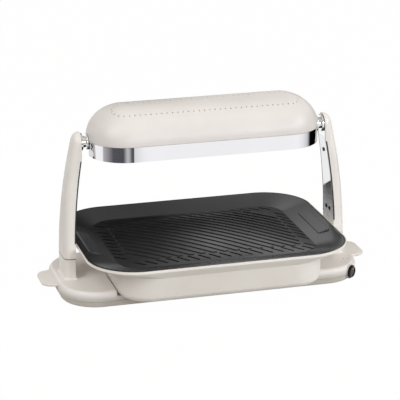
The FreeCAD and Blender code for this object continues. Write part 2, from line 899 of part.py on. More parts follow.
def arm_core():
    """The steel spine: a foot in the base, an upright in the post, and the eye for the hinge."""
    profile = closed_profile(inner_edges(core_offset, arm_top),
                             turned_back(inner_edges(core_offset + core_thickness, arm_top)))
    blade = slice_of_arm(profile, core_inset, arm_foot, arm_top)
    x0 = arm_inner + core_offset
    half = arm_half_depth - core_inset
    floor = core_foot_level()
    upright = block(x0, x0 + core_thickness, -half, half, floor, arm_foot + 0.01)
    sole = block(x0 + core_thickness - core_foot_reach, x0 + 1, -half, half, floor, floor + core_thickness)
    stubs = through_plate(stub_radius, plate_thickness + 0.05, core_offset + 0.5)
    core = fused([blade, upright, sole] + stubs)
    cuts = [across(bush_radius() + running_gap / 2, hinge_face, hinge_face + 30)]
    cuts += through_plate(screw_radius + screw_fit, -1, core_offset + core_thickness + 3)
    cuts += [rod(screw_radius + screw_clearance, (x, y, 0), (0, 0, 1), 20) for x, y in core_screw_places()]
    return core.cut(cuts)


def core_screws():
    top = core_foot_level() + core_thickness + screw_head_height
    length = screw_head_height + core_thickness + pedestal_height - 1
    return [upright_screw(s * x, y, top, length, False) for s in (1, -1) for x, y in core_screw_places()]


# Hinge

def bush_radius():
    return shaft_radius + running_gap + bush_wall


def hinge_hub():
    """The bright stepped drum between head and arm, with a spigot into the head's frame."""
    inner = head_half_x + seat_gap
    outer = hinge_face - hub_end_gap
    hub = fused([
        across(hub_inner_radius, inner, inner + hub_flange * 0.75),
        across(hub_neck_radius, inner, outer),
        across(hub_radius, outer - hub_flange, outer),
        across(spigot_radius, head_half_x - spigot_length, inner + overlap),
    ])
    edges = [e for e in hub.Edges if e.Curve.TypeId == "Part::GeomCircle"
             and e.Curve.Radius > hub_neck_radius + 1]
    hub = hub.makeFillet(hub_edge, edges)
    return hub.cut(across(shaft_radius + running_gap / 2, 0, base_half_x))


def hinge_shaft():
    start = head_half_x - frame_boss_length - 2
    end = nut_start() + nut_length + seat_gap
    return across(shaft_radius, start, end).cut(across(shaft_bore, start - 1, end + 1))


def hinge_bush():
    """A flanged bush: its collar fills the plate's hole and its sleeve passes through the spine."""
    start = hinge_face + hub_end_gap
    sleeve = across(bush_radius(), start, core_back + running_gap)
    collar = across(bush_radius() + bush_collar, start, hinge_face + core_offset - running_gap)
    return fused([sleeve, collar]).cut(across(shaft_radius + running_gap, 0, base_half_x))


def washer_start():
    return core_back + seat_gap


def nut_start():
    return washer_start() + washer_thickness + seat_gap


def nut_corner_radius():
    return nut_ratio * shaft_radius


def friction_washer():
    start = washer_start()
    washer = across(nut_corner_radius() + 1, start, start + washer_thickness)
    return washer.cut(across(shaft_radius + running_gap, 0, base_half_x))


def hinge_nut():
    r = nut_corner_radius()
    turns = [math.radians(60 * i) for i in range(7)]
    corners = [V(nut_start(), r * math.cos(t), hinge_height + r * math.sin(t)) for t in turns]
    nut = Part.Face(Part.makePolygon(corners)).extrude(V(nut_length, 0, 0))
    return nut.cut(across(shaft_radius + running_gap / 2, 0, base_half_x))


# Heater head

def head_ring(inset, z):
    return (head_half_x - inset, head_half_y - inset, head_corner - inset, z)


def domed(inset):
    """The head's cover: a block with its top edge rounded, then pressed flatter to an ellipse."""
    edge = dome_edge - inset
    flatter = (dome_top - dome_bottom - dome_skirt - inset) / edge
    below = dome_skirt + (1.0 if inset else 0.0)
    body = slab(*head_ring(inset, -below / flatter), edge)
    top = [e for e in body.Edges if min(v.Z for v in e.Vertexes) > edge - 0.01]
    body = body.makeFillet(edge, top)
    press = FreeCAD.Matrix()
    press.scale(1, 1, flatter)
    body = body.transformGeometry(press)
    body.translate(V(0, 0, dome_bottom + dome_skirt))
    return body


def vent_places():
    """Points round a long loop on the front half of the dome, evenly spaced by length."""
    path = rounded(vent_half_length, vent_half_depth, vent_corner, 0)
    path.translate(V(0, -vent_forward, 0))
    count = int(round(path.Length / vent_pitch))
    return path.discretize(Number=count + 1)[:-1]


def hub_hole():
    reach = base_half_x
    return across(spigot_radius + seat_gap, -reach, reach)


def dome_posts():
    """Screw posts that reach down from the dome's inside to the frame's ledge."""
    x = dome_post_place * head_half_x
    y = head_half_y - dome_post_inset
    return [(s * x, t * y) for s in (-1, 1) for t in (-1, 1)]


def head_dome():
    shell = domed(0).cut(domed(dome_wall))
    seat = band_top - seat_gap + sheet
    bosses = [rod(dome_post_radius, (x, y, seat), (0, 0, 1), 40).common(domed(0)) for x, y in dome_posts()]
    shell = fused([shell] + bosses)
    holes = [rod(screw_radius + screw_fit, (x, y, band_top - 5), (0, 0, 1), 16) for x, y in dome_posts()]
    vents = [rod(vent_radius, (p.x, p.y, dome_bottom + 15), (0, 0, 1), 60) for p in vent_places()]
    return shell.cut(holes + vents + [hub_hole()])


def head_band():
    t = band_thickness
    ring = slab(*head_ring(0, band_bottom), band_top)
    ring = ring.cut(slab(*head_ring(t, band_bottom + t), band_top + 1))
    ring = ring.cut(slab(*head_ring(t + band_lip, band_bottom - 1), band_top + 1))
    return ring.cut(hub_hole())


def head_frame():
    """A steel ring inside the band with a ledge for the reflector and a boss for each shaft."""
    out = band_thickness + seat_gap
    low = band_bottom + band_thickness + seat_gap
    top = band_top - seat_gap
    ring = slab(*head_ring(out, low), top).cut(slab(*head_ring(out + frame_wall, low - 1), top + 1))
    ledge = slab(*head_ring(out, top - frame_wall), top)
    ledge = ledge.cut(slab(*head_ring(out + frame_ledge, low - 1), top + 1))
    boss = across(spigot_radius + frame_boss_wall, head_half_x - frame_boss_length, head_half_x)
    boss = boss.common(slab(*head_ring(out + 0.9 * frame_wall, low), dome_top))
    frame = fused([ring, ledge, boss, other_side(boss)])
    bore = fused([across(spigot_radius + running_gap, head_half_x - spigot_length - 0.2, base_half_x),
                  across(shaft_radius + running_gap, head_half_x - 20, base_half_x)])
    cuts = [bore, other_side(bore)]
    cuts += [rod(screw_radius + screw_clearance, (x, y, low), (0, 0, 1), 40) for x, y in dome_posts()]
    return frame.cut(cuts)


def head_screws():
    z = band_top - seat_gap - frame_wall - screw_head_height
    return [upright_screw(x, y, z, head_screw_length) for x, y in dome_posts()]


def trough_edges(radius, flange, level):
    """Half circles over the two tubes with flat edges beside them, left to right along Y."""
    edges = []
    at = V(0, -flange, level)
    for side in (-1, 1):
        middle = side * tube_place
        a = V(0, middle - radius, level)
        edges.append(Part.makeLine(at, a))
        at = V(0, middle + radius, level)
        edges.append(Part.Arc(a, V(0, middle, level + radius), at).toShape())
    edges.append(Part.makeLine(at, V(0, flange, level)))
    return edges


def reflector():
    """A double trough of thin bright sheet, closed at its ends, hung on the frame's ledge."""
    level = band_top - seat_gap
    half = reflector_half
    flange = head_half_y - band_thickness - frame_wall - 3
    outer = Part.Wire(trough_edges(reflector_radius, flange, level + sheet))
    inner = Part.Wire(trough_edges(reflector_radius - sheet, flange, level))
    ends = [Part.makeLine(V(0, s * flange, level), V(0, s * flange, level + sheet)) for s in (-1, 1)]
    skin = Part.Face(Part.Wire(outer.Edges + [ends[0]] + inner.Edges + [ends[1]]))
    skin.translate(V(-half, 0, 0))
    skin = skin.extrude(V(2 * half, 0, 0))
    closed = []
    for middle in (-tube_place, tube_place):
        disc = across(reflector_radius - sheet / 2, -half, -half + sheet, middle, level + sheet / 2)
        disc = disc.common(block(-head_half_x, head_half_x, -head_half_y, head_half_y, level, dome_top))
        closed += [disc, other_side(disc)]
    within = slab(*head_ring(dome_wall + 1, level - 1), dome_top)
    holes = [rod(screw_radius + screw_clearance, (x, y, level - 5), (0, 0, 1), 10) for x, y in dome_posts()]
    return fused([skin] + closed).common(within).cut(holes)


def heat_shield():
    """A pressed lid over the reflector that keeps its heat from the dome."""
    level = band_top - seat_gap + sheet
    foot = tube_place + reflector_radius + shield_brim
    lean = shield_lean
    half = reflector_half

    def section(y, top):
        return [V(-half, -y, level), V(-half, -y + lean, top), V(-half, y - lean, top), V(-half, y, level)]

    top = level + shield_height
    outline = section(foot, top) + list(reversed(section(foot - sheet, top - sheet)))
    lid = Part.Face(Part.makePolygon(outline + outline[:1])).extrude(V(2 * half, 0, 0))
    brim = block(-half, half, foot - sheet, foot + shield_brim, level, level + sheet)
    return fused([lid, brim, brim.mirror(V(0, 0, 0), V(0, 1, 0))])


def tube_places():
    return [(-tube_place, tube_height), (tube_place, tube_height)]


def heater_tubes():
    half = tube_length / 2
    tubes = []
    for y, z in tube_places():
        outer = across(tube_radius, -half, half, y, z)
        tubes.append(outer.cut(across(tube_radius - tube_wall, -half - 1, half + 1, y, z)))
    return tubes


def heater_elements():
    half = tube_length / 2
    return [across(element_radius, -half, half, y, z) for y, z in tube_places()]


def tube_caps():
    """Ceramic ends: a cup over the glass with a stub that holds the element."""
    caps = []
    start = tube_length / 2 - cap_length * cap_cover
    for y, z in tube_places():
        cup = across(tube_radius + cap_wall, start, start + cap_length, y, z)
        cup = cup.cut(across(tube_radius + running_gap, start - 1, tube_length / 2 + running_gap, y, z))
        caps += [cup, other_side(cup)]
    return caps


def tube_brackets():
    """Bent steel hangers from the frame's ledge, each with a round seat for two caps."""
    x = tube_length / 2 + cap_length * (1 - cap_cover) - 3.0
    low = tube_height - tube_radius - cap_wall - 2
    top = band_top - seat_gap - frame_wall
    wide = head_half_y - band_thickness - frame_wall - 1.5
    sheet_metal = block(x - bracket_half_thickness, x + bracket_half_thickness, -wide, wide, low, top)
    hollow = slab(*head_ring(band_thickness + frame_wall + 2 * seat_gap, low - 1), top + 1)
    plate = sheet_metal.common(hollow)
    seats = [across(tube_radius + cap_wall + running_gap, x - 3, x + 3, y, z) for y, z in tube_places()]
    plate = plate.cut(seats)
    return [plate, other_side(plate)]


def guard_grille():
    """A round-wire guard: an outer loop on the band's lip and cross wires welded to it."""
    z = band_bottom + band_thickness + seat_gap + grille_wire
    inset = band_thickness + frame_wall + 2 * seat_gap + 2 * grille_wire
    ring = head_ring(inset, z)
    loop = rounded(*ring)
    start = loop.Edges[0].valueAt(loop.Edges[0].FirstParameter)
    way = loop.Edges[0].tangentAt(loop.Edges[0].FirstParameter)
    circle = Part.Wire(Part.makeCircle(grille_wire, start, way))
    frame_wire = loop.makePipeShell([circle], True, False)
    wires = [frame_wire]
    half_x = ring[0] - grille_end_inset
    for i in range(grille_cross_count):
        x = -half_x + 2 * half_x * i / (grille_cross_count - 1)
        depth = ring[1]
        past = abs(x) - (ring[0] - ring[2])
        if past > 0:
            depth = ring[1] - ring[2] + math.sqrt(ring[2] ** 2 - past ** 2)
        wires.append(rod(grille_wire, (x, -depth, z), (0, 1, 0), 2 * depth))
    return fused(wires)


def thermal_cutout():
    """The safety cutout that sits on the shield, with its two flat terminals."""
    z = band_top - seat_gap + sheet + shield_height + 2 * running_gap
    x = cutout_place
    can = rod(cutout_radius, (x, 0, z), (0, 0, 1), cutout_height)
    collar = rod(cutout_radius + cutout_brim, (x, 0, z), (0, 0, 1), cutout_brim)
    top = z + cutout_height
    tags = [block(x + s * tag_apart / 2 - tag_width / 2, x + s * tag_apart / 2 + tag_width / 2,
                  -sheet / 2, sheet / 2, top - overlap, top + tag_height) for s in (-1, 1)]
    return fused([can, collar] + tags)


# Control

def knob():
    """The black cap, hollow at the back, with a shallow dish in its face."""
    cap = on_knob_axis(knob_radius - bezel_width - 0.2, base_corner + 2 * seat_gap, knob_reach)
    rim = [e for e in cap.Edges if e.Curve.TypeId == "Part::GeomCircle"]
    cap = cap.makeFillet(1.0, rim)
    dish = on_knob_axis(knob_radius - bezel_width - knob_face_inset,
                        base_corner + 2 * seat_gap + knob_reach - knob_face_depth, 5)
    socket = on_knob_axis(control_shaft_radius + screw_fit, base_corner - 5, 5 + control_shaft_end + 0.2)
    return cap.cut([dish, socket])


def knob_bezel():
    ring = on_knob_axis(knob_radius + 0.4, base_corner + seat_gap, bezel_reach)
    edge = [e for e in ring.Edges if e.Curve.TypeId == "Part::GeomCircle"]
    ring = ring.makeFillet(0.5, edge)
    return ring.cut(on_knob_axis(knob_radius - bezel_width + 0.1, base_corner - 5, 20))


def control_shaft():
    start = base_corner - base_wall - 14
    return on_knob_axis(control_shaft_radius, start, base_corner + control_shaft_end - start)


def switch_box(grow=0.0):
    """The rotary switch's box, square to the control's axis."""
    depth = switch_length
    body = block(-switch_width / 2 - grow, switch_width / 2 + grow,
                 -depth - grow, grow, -switch_half_height, switch_half_height)
    body.rotate(V(0, 0, 0), V(0, 0, 1), knob_turn + 180)
    corner = V(knob_centre_x, knob_centre_y, knob_height)
    front = corner + knob_axis() * (base_corner - base_wall - switch_setback)
    body.translate(front)
    return body


def control_switch():
    body = switch_box()
    start = base_corner - base_wall - switch_setback - overlap / 2
    collar = on_knob_axis(switch_collar_radius, start, switch_collar_length + overlap / 2)
    bore = on_knob_axis(control_shaft_radius + running_gap, start - 12, 30)
    return fused([body, collar]).cut(bore)


def switch_pedestal():
    floor = base_underside + base_wall
    pad = block(-6, 6, -switch_length + 2, -2, floor - overlap / 2, knob_height - switch_half_height - 0.02)
    pad.rotate(V(0, 0, 0), V(0, 0, 1), knob_turn + 180)
    front = V(knob_centre_x, knob_centre_y, 0) + knob_axis() * (base_corner - base_wall - switch_setback)
    pad.translate(front)
    return pad


# Power

def inlet_span():
    """Where the inlet's body starts and ends along Y."""
    back = base_half_y - inlet_recess
    return back - inlet_depth + 2 * inlet_recess, back


def power_inlet():
    """A recessed two-pin inlet in the back wall, with no lead in it."""
    half_w = inlet_width / 2 - inlet_fit
    half_h = inlet_height / 2 - inlet_fit
    front, back = inlet_span()
    shell = block(inlet_place - half_w, inlet_place + half_w, front, back,
                  base_parting - half_h, base_parting + half_h)
    w = inlet_wall
    recess = block(inlet_place - half_w + w, inlet_place + half_w - w, front + inlet_floor, back + overlap,
                   base_parting - half_h + w, base_parting + half_h - w)
    pins = [rod(pin_radius + screw_fit, (inlet_place + s * pin_spacing / 2, front - 5, base_parting),
                (0, 1, 0), inlet_depth + 10) for s in (-1, 1)]
    return shell.cut([recess] + pins)


def inlet_pins():
    front = inlet_span()[0]
    return [rod(pin_radius, (inlet_place + s * pin_spacing / 2, front - pin_tail, base_parting),
                (0, 1, 0), pin_length) for s in (-1, 1)]


def terminal_block():
    floor = base_underside + base_wall
    body = block(block_place_x - block_length / 2, block_place_x + block_length / 2,
                 block_place_y - block_width / 2, block_place_y + block_width / 2,
                 floor, floor + block_height)
    wells = [rod(well_radius, (block_place_x + i * well_pitch, block_place_y, floor + well_floor),
                 (0, 0, 1), block_height) for i in (-1, 0, 1)]
    return body.cut(wells)


def bent_lead(points, radius):
    """A round lead along straight runs joined by tangent arcs."""
    edges = []
    at = points[0]
    for a, corner, b in zip(points, points[1:], points[2:]):
        u = (a - corner).normalize()
        v = (b - corner).normalize()
        half = u.getAngle(v) / 2
        room = min((a - corner).Length, (b - corner).Length) * 0.45
        bend = min(lead_bend, room * math.tan(half))
        setback = bend / math.tan(half)
        p = corner + u * setback
        q = corner + v * setback
        centre = corner + (u + v).normalize() * (bend / math.sin(half))
        middle = centre + (corner - centre).normalize() * bend
        edges.append(Part.makeLine(at, p))
        edges.append(Part.Arc(p, middle, q).toShape())
        at = q
    edges.append(Part.makeLine(at, points[-1]))
    path = Part.Wire(edges)
    circle = Part.Wire(Part.makeCircle(radius, points[0], points[1] - points[0]))
    return path.makePipeShell([circle], True, False)


def inner_leads():
    """Leads clipped inside the base: inlet to terminals, and terminals to the switch."""
    z = base_underside + base_wall + block_height / 2
    inlet = V(inlet_place - 8, base_half_y - inlet_depth + 0.2, base_parting - 2.4)
    first = [inlet, inlet + V(0, -12, 0), V(block_place_x + 6, block_place_y + block_width / 2 + 14, z),
             V(block_place_x + 6, block_place_y + block_width / 2, z)]
    back = V(knob_centre_x, knob_centre_y, knob_height)
    back = back + knob_axis() * (base_corner - base_wall - switch_setback - switch_length - seat_gap)
    second = [V(block_place_x + 6, block_place_y - block_width / 2, z),
              V(block_place_x + 6, block_place_y - block_width / 2 - 22, z),
              back - knob_axis() * 18, back]
    return [bent_lead(first, lead_radius), bent_lead(second, lead_radius)]


def main():
    os.makedirs("parts", exist_ok=True)
    save("grill_pan", grill_pan())
    save("drip_tray", drip_tray())
    save("bottom_housing", bottom_housing())
    save("deck_housing", deck_housing())
    save("rubber_feet", *rubber_feet())
    save("base_screws", *base_screws())
    sides = {
        "arm_shell": arm_shell(),
        "arm_plate": arm_plate(),
        "arm_core": arm_core(),
        "hinge_hub": hinge_hub(),
        "hinge_shaft": hinge_shaft(),
        "hinge_bush": hinge_bush(),
    }
    for name, shape in sides.items():
        save(name + "_right", shape)
        save(name + "_left", other_side(shape))
    screws = plate_screws()
    save("arm_plate_screws", *screws, *[other_side(s) for s in screws])
    save("core_screws", *core_screws())
    save("friction_washers", friction_washer(), other_side(friction_washer()))
    save("hinge_nuts", hinge_nut(), other_side(hinge_nut()))
    save("head_dome", head_dome())
    save("head_band", head_band())
    save("head_frame", head_frame())
    save("head_screws", *head_screws())
    save("reflector", reflector())
    save("heat_shield", heat_shield())
    save("heater_tubes", *heater_tubes())
    save("heater_elements", *heater_elements())
    save("tube_caps", *tube_caps())
    save("tube_brackets", *tube_brackets())
    save("guard_grille", guard_grille())
    save("thermal_cutout", thermal_cutout())
    save("knob", knob())
    save("knob_bezel", knob_bezel())
    save("control_shaft", control_shaft())
    save("control_switch", control_switch())
    save("power_inlet", power_inlet())
    save("inlet_pins", *inlet_pins())
    save("terminal_block", terminal_block())
    save("inner_leads", *inner_leads())


main()
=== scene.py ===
# %% [markdown]
# # An indoor electric grill
#
# The construction comes from the imported frame: base, drip tray, pan, arms and heater head, each in
# its place and in metres. This file gives those parts their surfaces and adds the small things that
# a moulder, a platter and an assembler leave behind. The frame is loaded first, because every piece
# rides on one of its bodies.

# %% Load the frame
import math

import bpy
from mathutils import Matrix, Vector


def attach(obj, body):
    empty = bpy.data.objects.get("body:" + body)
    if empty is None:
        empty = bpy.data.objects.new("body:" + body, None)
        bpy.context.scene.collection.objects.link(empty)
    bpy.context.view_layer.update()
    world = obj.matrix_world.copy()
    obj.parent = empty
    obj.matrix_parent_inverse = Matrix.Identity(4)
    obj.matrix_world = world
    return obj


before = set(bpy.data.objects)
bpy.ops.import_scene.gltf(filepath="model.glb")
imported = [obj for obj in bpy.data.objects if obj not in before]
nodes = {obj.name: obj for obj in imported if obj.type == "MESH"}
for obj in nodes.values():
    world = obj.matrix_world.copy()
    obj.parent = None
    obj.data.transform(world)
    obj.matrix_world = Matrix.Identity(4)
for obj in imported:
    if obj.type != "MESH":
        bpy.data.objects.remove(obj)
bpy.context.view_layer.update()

# %% [markdown]
# ## Camera
#
# The camera stands to the left of the grill, a little above it and far away, with a long lens, so
# the two arms are nearly the same size in the picture. A wide lens close by would show the same
# corners, but the near arm would tower over the far one. Its place was worked out from the outlines
# of the base, the tray and the head.

# %% Camera
camera_turn = math.radians(-15.85)
camera_rise = math.radians(18.59)
camera_distance = 2.8423
camera_target = Vector((-0.00435, 0.0, 0.12482))
back = Vector((math.sin(camera_turn) * math.cos(camera_rise),
               -math.cos(camera_turn) * math.cos(camera_rise),
               math.sin(camera_rise)))
camera_data = bpy.data.cameras.new("photo_camera")
camera_data.lens = 167.52
camera_data.sensor_width = 36.0
camera_data.clip_end = 20.0
camera = bpy.data.objects.new("photo_camera", camera_data)
camera.location = camera_target + back * camera_distance
camera.rotation_euler = back.to_track_quat("Z", "Y").to_euler()
bpy.context.scene.collection.objects.link(camera)
bpy.context.scene.camera = camera
print("camera at", [round(v, 3) for v in camera.location])

# %% [markdown]
# ## Small functions for materials
#
# Colours are written as the hex values that a colour picker shows, and one function turns them into
# the linear values that the shader works with. Another adds a node with its settings and its links,
# so each material reads as a short list of what it is made of. Patterns are given by their real
# size in millimetres, because a grain that is right on the pan is wrong on a screw.

# %% Colour and node functions
def linear(code):
    """An sRGB hex code as linear RGBA."""
    values = [int(code[i:i + 2], 16) / 255 for i in (1, 3, 5)]
    return [v / 12.92 if v <= 0.04045 else ((v + 0.055) / 1.055) ** 2.4 for v in values] + [1.0]


def join(tree, node, **links):
    """Links go from (node, output) to the input whose name has spaces for underscores."""
    for key, (source, output) in links.items():
        tree.links.new(source.outputs[output], node.inputs[key.replace("_", " ")])


def add(tree, kind, settings=None, **links):
    """Adds one node with its settings, which are inputs or properties, and its links."""
    node = tree.nodes.new(kind)
    for key, value in (settings or {}).items():
        if key in node.inputs:
            node.inputs[key].default_value = value
        else:
            setattr(node, key, value)
    join(tree, node, **links)
    return node


def material(name, **inputs):
    """A new material with its shader; inputs are plain numbers set on the shader's own sockets."""
    made = bpy.data.materials.new(name)
    made.use_nodes = True
    shader = made.node_tree.nodes["Principled BSDF"]
    for key, value in inputs.items():
        shader.inputs[key.replace("_", " ")].default_value = value
    return made, made.node_tree, shader


def noise(tree, size_mm, detail=3.0, stretch=(1, 1, 1)):
    """Noise fixed to the piece, in blobs of about size_mm, drawn out where stretch is above one."""
    place = add(tree, "ShaderNodeTexCoord")
    scaled = add(tree, "ShaderNodeMapping", {"Scale": [1000 / size_mm / s for s in stretch]},
                 Vector=(place, "Object"))
    return add(tree, "ShaderNodeTexNoise", {"Scale": 1.0, "Detail": detail},
               Vector=(scaled, "Vector"))


def ramp(tree, source, output, stops):
    """A colour ramp through (position, hex) stops."""
    node = add(tree, "ShaderNodeValToRGB", Fac=(source, output))
    band = node.color_ramp
    while len(band.elements) < len(stops):
        band.elements.new(0.5)
    for element, (position, code) in zip(band.elements, stops):
        element.position = position
        element.color = linear(code)
    return node


def between(tree, source, low, high):
    """Spreads a noise's middle range, where nearly all its values lie, over low to high."""
    return add(tree, "ShaderNodeMapRange",
               {"From Min": 0.3, "From Max": 0.7, "To Min": low, "To Max": high},
               Value=(source, "Fac"))


def skin(name, deep, pale, patch_mm, smooth, rough, grain_mm, grain_um, **inputs):
    """A material whose colour drifts over patches, whose gloss drifts too, over a fine grain."""
    made, tree, shader = material(name, **inputs)
    colour = ramp(tree, noise(tree, patch_mm), "Fac", [(0.35, deep), (0.65, pale)])
    gloss = between(tree, noise(tree, patch_mm / 3, 5.0), smooth, rough)
    bump = add(tree, "ShaderNodeBump", {"Distance": grain_um / 1e6},
               Height=(noise(tree, grain_mm, 2.0), "Fac"))
    join(tree, shader, Base_Color=(colour, "Color"), Roughness=(gloss, "Result"),
         Normal=(bump, "Normal"))
    return made


def cover(made, *names):
    """Gives a finished material to CAD nodes."""
    for name in names:
        for place in nodes[name].material_slots:
            place.material = made
    print(made.name, "on", len(names), "nodes")


# %% [markdown]
# ## The finishes that are seen first
#
# The mouldings are a warm off-white plastic. A flat colour would look like paper, so the colour
# drifts by a shade or two over a hand's width, as the gloss does where the mould was polished by
# hand, and a spark-eroded grain of a third of a millimetre breaks the edge of every reflection.

# %% Cream plastic
cream = skin("cream_moulded_abs", "#E4DFDC", "#E9E5E1", 70, 0.36, 0.46, 0.3, 4)
cover(cream, "deck_housing", "arm_shell_left", "arm_shell_right")

# %% [markdown]
# Two marks of painted shade sit at fixed heights on the cream: a dark line in the joint where each
# arm stands on its post, and a grey tint that grows down the side wall towards the parting line.
# They could be strips of geometry, but shade has no thickness, so they are painted by height: a ramp
# on the Z of the piece's own coordinates is multiplied into the colour. A ramp runs from 0 to 1, so
# the heights are divided by the span it covers.

# %% Painted shade in the joints and on the side walls of the cream
painted_span = 0.1
parting_line, unshaded_above = 0.011, 0.022
joint_core, joint_edge = 0.0005, 0.0008
seam = min(v.co.z for v in bpy.data.objects["arm_shell_left"].data.vertices)
tree = cream.node_tree
shader = tree.nodes["Principled BSDF"]
split = add(tree, "ShaderNodeSeparateXYZ", Vector=(add(tree, "ShaderNodeTexCoord"), "Object"))
height = add(tree, "ShaderNodeMapRange", {"From Min": 0.0, "From Max": painted_span},
             Value=(split, "Z"))
# Painted shade: grey towards the parting line, and a dark band at the arm's joint.
shade = ramp(tree, height, "Result",
             [(z / painted_span, code) for z, code in (
                 (parting_line, "#DEDEDE"), (unshaded_above, "#FFFFFF"),
                 (seam - joint_edge, "#FFFFFF"), (seam - joint_core, "#7C7C7C"),
                 (seam + joint_core, "#7C7C7C"), (seam + joint_edge, "#FFFFFF"))])
# The painted shade is multiplied into the cream's colour.
painted_shade_mix = add(tree, "ShaderNodeMix", {"data_type": "RGBA", "blend_type": "MULTIPLY"})
painted_shade_mix.inputs["Factor"].default_value = 1.0
colours = [socket for socket in painted_shade_mix.inputs if socket.type == "RGBA"]
tree.links.new(shader.inputs["Base Color"].links[0].from_socket, colours[0])
tree.links.new(shade.outputs["Color"], colours[1])
tree.links.new([s for s in painted_shade_mix.outputs if s.type == "RGBA"][0], shader.inputs["Base Color"])
print("arm joint at", round(seam, 4))

# %% [markdown]
# The other cream mouldings are the same plastic in greyer and paler copies, painted light and shade.
# The dome is a shade greyer, which is painted shade. The tray is paler, which is painted light, and
# smoother, as it is washed and has to slide. The bottom shell is darker, which is painted shade, and
# duller. One colour for all of them would hide the seams that tell the eye how the grill is built.

# %% Creams of the head, the tray and the bottom
# Greyer than the deck's cream: painted shade on the dome.
head_cream = skin("cream_head_with_painted_shade", "#D8D3D1", "#DDD8D6", 80, 0.34, 0.44, 0.3, 4)
cover(head_cream, "head_dome")
# Paler than the deck's cream: painted light on the tray.
tray_cream = skin("cream_tray_with_painted_light", "#EAE5E0", "#EFEBE6", 90, 0.28, 0.38, 0.4, 3)
cover(tray_cream, "drip_tray")
# Darker than the deck's cream: painted shade on the bottom shell.
foot_cream = skin("cream_bottom_with_painted_shade", "#CFC9C0", "#D6D0C7", 60, 0.42, 0.52, 0.35, 6)
cover(foot_cream, "bottom_housing")

# %% [markdown]
# The pan is cast aluminium under a non-stick coating. The coating is sprayed, so it carries a fine
# orange peel and tiny mineral specks, and it is smooth enough for the flanges to pick up the room
# as soft greys: paler at the right, nearly black at the left. Cooking leaves rubbed patches on it,
# wide and faint, that differ in gloss only.

# %% Coated pan
coated, tree, shader = material("nonstick_coated_cast_aluminium", IOR=1.5)
base_tone = ramp(tree, noise(tree, 45, 4.0), "Fac", [(0.3, "#1B1B1C"), (0.7, "#222224")])
specks = ramp(tree, noise(tree, 0.9, 1.0), "Fac", [(0.66, "#000000"), (0.74, "#4A4A4C")])
speckled = add(tree, "ShaderNodeMix",
               {"data_type": "RGBA", "blend_type": "ADD", "clamp_result": True})
speckled.inputs["Factor"].default_value = 0.35
colours = [socket for socket in speckled.inputs if socket.type == "RGBA"]
tree.links.new(base_tone.outputs["Color"], colours[0])
tree.links.new(specks.outputs["Color"], colours[1])
rubbed = between(tree, noise(tree, 60, 5.0, (1, 3, 1)), 0.19, 0.28)
peel = add(tree, "ShaderNodeBump", {"Distance": 0.00002, "Strength": 0.6},
           Height=(noise(tree, 1.1, 3.0), "Fac"))
join(tree, shader, Roughness=(rubbed, "Result"), Normal=(peel, "Normal"))
tree.links.new([s for s in speckled.outputs if s.type == "RGBA"][0], shader.inputs["Base Color"])
cover(coated, "grill_pan")

# %% [markdown]
# Chrome plate is a mirror, so almost everything the eye gets from it is the room. What makes it
# metal and not glass are the faint wipe marks: roughness drawn out along the way a cloth goes, and
# hairline scratches far too shallow to feel.

# %% Chrome plate
def chrome_plate(name):
    """Chrome with its tone and its hairlines; its roughness is left to the caller."""
    made, tree, shader = material(name, Metallic=1.0)
    tone = ramp(tree, noise(tree, 120), "Fac", [(0.3, "#E6E6E8"), (0.7, "#EEEEEF")])
    hairs = add(tree, "ShaderNodeBump", {"Distance": 0.000002, "Strength": 0.4},
                Height=(noise(tree, 0.25, 2.0, (60, 1, 1)), "Fac"))
    join(tree, shader, Base_Color=(tone, "Color"), Normal=(hairs, "Normal"))
    return made, tree, shader


chrome, tree, shader = chrome_plate("mirror_chrome_plate")
wiped = between(tree, noise(tree, 14, 4.0, (6, 1, 1)), 0.025, 0.07)
join(tree, shader, Roughness=(wiped, "Result"))
cover(chrome, "hinge_hub_left", "hinge_hub_right", "head_band")

# %% [markdown]
# The arm plates are the same chrome, but their feet are rougher, and towards the foot the metal
# gives way to a pale matt grey: a painted reflection, lighter than the dark pan the plate faces. The
# reflection is sharp above and fades into a pale grey below, which the photograph shows on the right
# plate.

# %% Arm plates dulled at the foot
haze_height, pale_foot_height = 0.050, 0.058
foot = min(v.co.z for v in bpy.data.objects["arm_plate_right"].data.vertices)
dulled_plate, tree, shader = chrome_plate("chrome_plate_dulled_at_the_foot")
split = add(tree, "ShaderNodeSeparateXYZ", Vector=(add(tree, "ShaderNodeTexCoord"), "Object"))
haze = add(tree, "ShaderNodeMapRange",
           {"From Min": foot + haze_height, "From Max": foot, "To Min": 0.05, "To Max": 0.75},
           Value=(split, "Z"))
# Towards the foot the metal gives way to pale matt grey: a painted reflection.
painted_pale_foot = add(tree, "ShaderNodeMapRange",
           {"From Min": foot + pale_foot_height, "From Max": foot, "To Min": 1.0, "To Max": 0.35},
           Value=(split, "Z"))
join(tree, shader, Roughness=(haze, "Result"), Metallic=(painted_pale_foot, "Result"))
cover(dulled_plate, "arm_plate_left", "arm_plate_right")
print("plates' foot at", round(foot, 4))

# %% [markdown]
# The control is moulded in black plastic from a polished mould, so it catches one small sharp
# light, and handling has left its gloss uneven.

# %% Black plastic
gloss_black = skin("polished_black_abs", "#09090A", "#0E0E0F", 9, 0.12, 0.26, 0.5, 1, IOR=1.4)
cover(gloss_black, "knob", "knob_bezel")

# %% [markdown]
# ## The hidden parts
#
# Hidden parts are seen when the tray is out, when the head is turned over, or from below, so they
# get real finishes too. A metal's colour is that of its reflection, so each is told apart by its
# tint and by how sharp that reflection is. Bent steel is plated with bright zinc, a cool grey.
# Screws in sight are blacked with oxide, which keeps a dark sheen. Shafts and guard wires are ground
# stainless steel. The reflector is anodised, nearly white and nearly a mirror, and the sheet above
# it is aluminised steel, greyer and flatter. The bushes are sintered bronze, warm and porous, and
# the inlet's pins are nickelled brass with the yellow showing through. The heater's wire has turned
# blue and brown in the heat.

